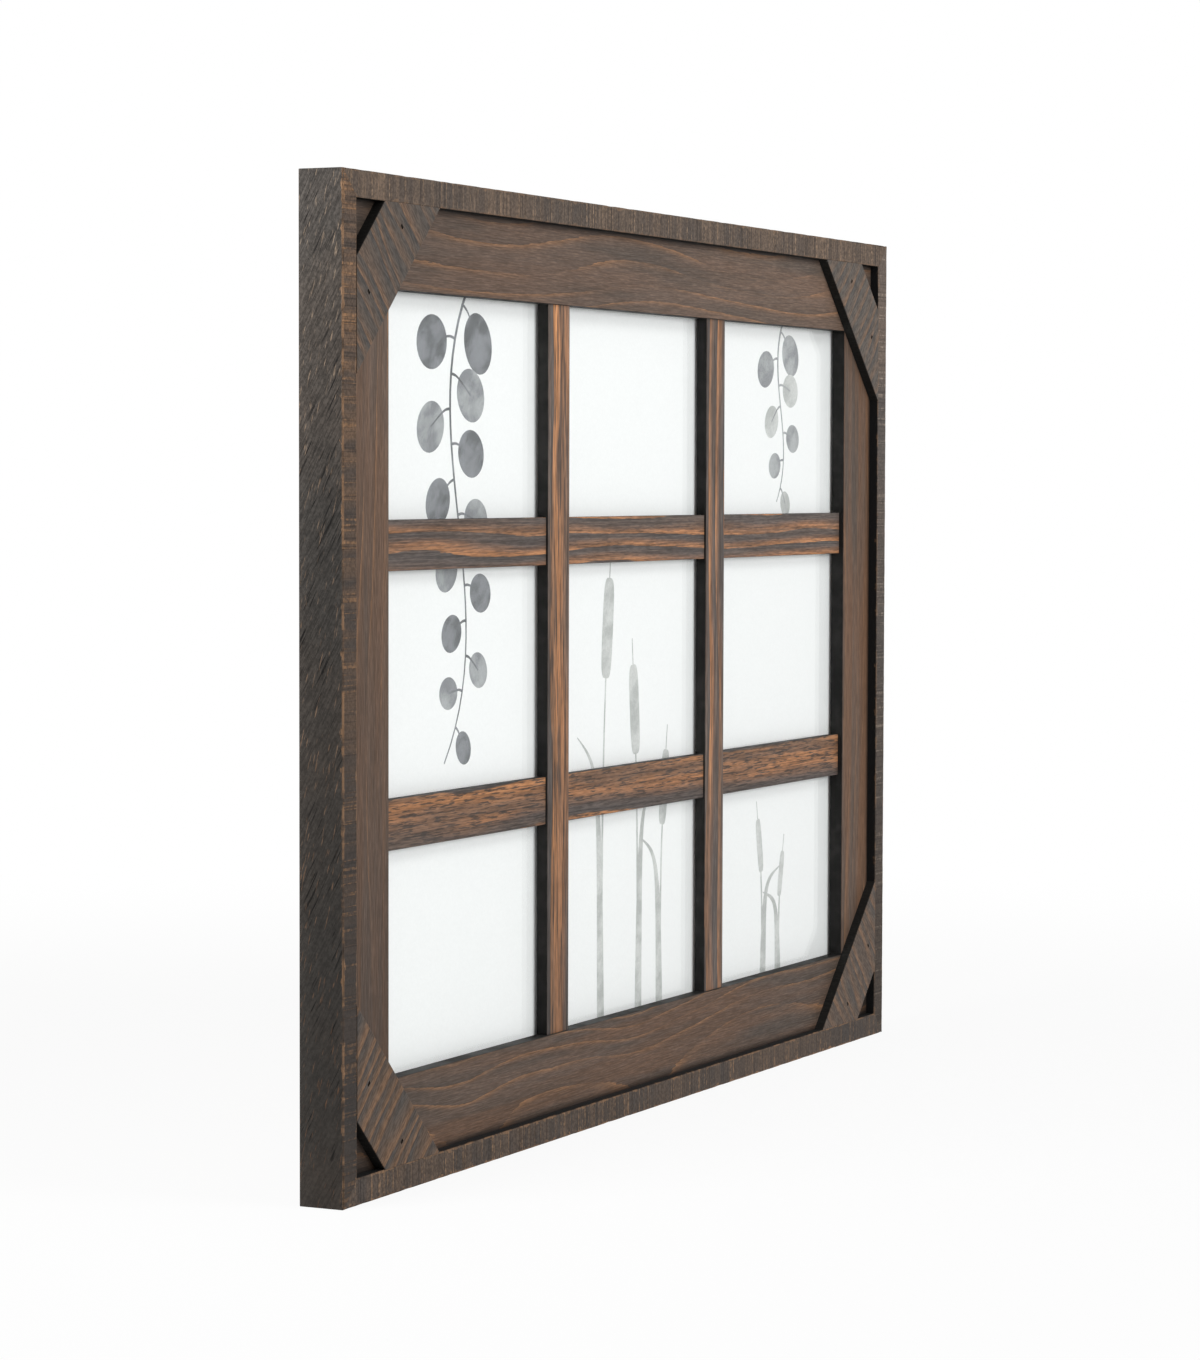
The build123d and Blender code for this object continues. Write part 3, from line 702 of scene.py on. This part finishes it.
# Inner frame: name, turn, rim, wander, sway, lines_from, line_strength, warmth, corner_painted_shade, ends;
# ends set the tone and paint light and shade from end to end
boards = (("rail_top", 0.0, rail_rim, 14.0, 200.0, 0.38, 0.72, 0.15, 0.65, (0.8, 1.08)),
          ("rail_bottom", 0.0, -rail_rim, 20.0, 150.0, 0.36, 0.85, 0.45, 0.3, (0.79, 0.77)),
          ("stile_left", quarter, stile_rim, 10.0, 200.0, 0.4, 0.6, 0.4, 1.0, (0.53, 1.01)),
          ("stile_right", quarter, -stile_rim, 10.0, 200.0, 0.43, 0.55, 0.65, 1.0, (0.9, 0.9)))
for seed, (name, turn, *stain) in enumerate(boards, 5):
    coat("inner_" + name, stained_softwood(name, turn, seed, *stain))

# Muntins: name, turn, spacing, start, glow, calmness, pore, pore_width, porosity, ends; ends set the tone and
# paint light and shade from end to end
muntins = (("upright_muntin_1", quarter, -22.0, 3.2, 0.5, 0.6, 30.0, 1.2, 0.85, (0.76, 1.3)),
           ("upright_muntin_2", quarter, -9.0, 3.0, 0.2, 0.6, 30.0, 1.5, 0.5, (1.15, 1.06)),
           ("cross_muntin_1", 0.0, -21.0, -0.5, 0.58, 0.7, 9.0, 0.6, 0.9, (0.9, 0.98)),
           ("cross_muntin_2", 0.0, 7.5, -0.3, 0.18, 0.5, 11.0, 0.65, 0.5, (1.0, 1.12)))
for seed, (name, turn, *stain) in enumerate(muntins, 9):
    coat(name, banded_softwood(name, turn, seed, *stain))

# Braces: name, turn, spacing, tone, calmness, calm_colour
braces = (("top_left", -eighth, 7.0, 0.8, 0.68, "#5a514a"),
          ("top_right", eighth, 7.5, 0.95, 0.8, "#5c554f"),
          ("bottom_right", -eighth, 7.5, 0.97, 0.78, "#5b4d43"),
          ("bottom_left", eighth, 7.2, 0.82, 0.4, "#604834"))
for seed, (name, turn, *stain) in enumerate(braces, 13):
    coat("corner_brace_" + name, saw_striped(name, turn, seed, *stain))

coat("glass_pane", coated_glass())
printed_sheet()
coat("backing_board", bare_fibreboard())
steel = nail_steel()
zinc = zinc_plate()
for name in ("brace_brads", "mitre_vnails"):
    coat(name, steel)
for name in nodes:
    if name.startswith(("turn_button", "hanger")):
        coat(name, zinc)


def seen_directly(tree):
    """1 for what is seen straight, by reflection or through glass, 0 for light that falls on the object."""
    seen = node(tree, "LightPath", out="Is Camera Ray")
    for ray in ("Is Glossy Ray", "Is Transmission Ray"):
        seen = node(tree, "Math", {0: seen, 1: node(tree, "LightPath", out=ray)}, operation="MAXIMUM")
    return seen


# Floor: pale, level with the frame's lower edge, white to the eye with the frame's shadow on it
def studio_floor():
    material, tree, surface = new_material("pale_studio_floor")
    matt = node(tree, "BsdfDiffuse", {"Color": linear("#d8d8d8")})
    white = node(tree, "Emission", {"Color": linear("#ffffff"), "Strength": 1.0})
    where = node(tree, "TexCoord", out="Object")
    away = node(tree, "VectorMath", {0: where}, out="Value", operation="LENGTH")
    paling = node(tree, "MapRange", {0: away, 1: floor_near, 2: floor_far, 3: floor_near_white, 4: 1.0},
                  interpolation_type="SMOOTHSTEP")
    share = node(tree, "Math", {0: seen_directly(tree), 1: paling}, operation="MULTIPLY")
    tree.links.new(node(tree, "MixShader", {0: share, 1: matt, 2: white}), surface)
    shape = bmesh.new()
    place = Matrix.Translation((0, 0, cad_box[0].z))
    bmesh.ops.create_grid(shape, x_segments=1, y_segments=1, size=floor_span / 2, matrix=place)
    floor = mesh_object("studio_floor", shape, [material])


def studio_light():
    """A white room to the eye, an even fill on the object, and soft lamps before, above and left of it."""
    world = bpy.data.worlds.new("white_studio")
    scene.world = world
    world.use_nodes = True
    tree = world.node_tree
    tree.nodes.clear()
    surface = node(tree, "OutputWorld")
    fill = node(tree, "Background", {"Color": linear("#ffffff"), "Strength": world_fill})
    white = node(tree, "Background", {"Color": linear("#ffffff"), "Strength": 1.0})
    tree.links.new(node(tree, "MixShader", {0: seen_directly(tree), 1: fill, 2: white}), surface)

    for name, size, power, place, aim in lamps:
        light = bpy.data.lights.new(name, "AREA")
        light.size = size
        light.energy = power
        holder = bpy.data.objects.new(name, light)
        holder.location = place
        holder.rotation_euler = (Vector(aim) - holder.location).to_track_quat("-Z", "Y").to_euler()
        scene.collection.objects.link(holder)


def photo_camera():
    """The camera of the photograph: far to the left, about level with the frame."""
    yaw, pitch, roll = (math.radians(a) for a in (camera_yaw, camera_pitch, camera_roll))
    back = Vector((math.sin(yaw) * math.cos(pitch), -math.cos(yaw) * math.cos(pitch), math.sin(pitch)))
    level = Vector((math.cos(yaw), math.sin(yaw), 0))
    upright = back.cross(level)
    right = math.cos(roll) * level + math.sin(roll) * upright
    up = -math.sin(roll) * level + math.cos(roll) * upright
    front_middle = Vector((0, cad_box[0].y, 0))
    place = front_middle + back * camera_distance + right * aim_right + up * aim_up
    camera = bpy.data.cameras.new("photo_camera")
    camera.lens = lens_mm
    camera.sensor_width = sensor_mm
    eye = bpy.data.objects.new("photo_camera", camera)
    eye.matrix_world = Matrix.Translation(place) @ Matrix((right, up, back)).transposed().to_4x4()
    scene.collection.objects.link(eye)
    scene.camera = eye


studio_floor()
studio_light()
photo_camera()
scene.view_settings.view_transform = "Standard"
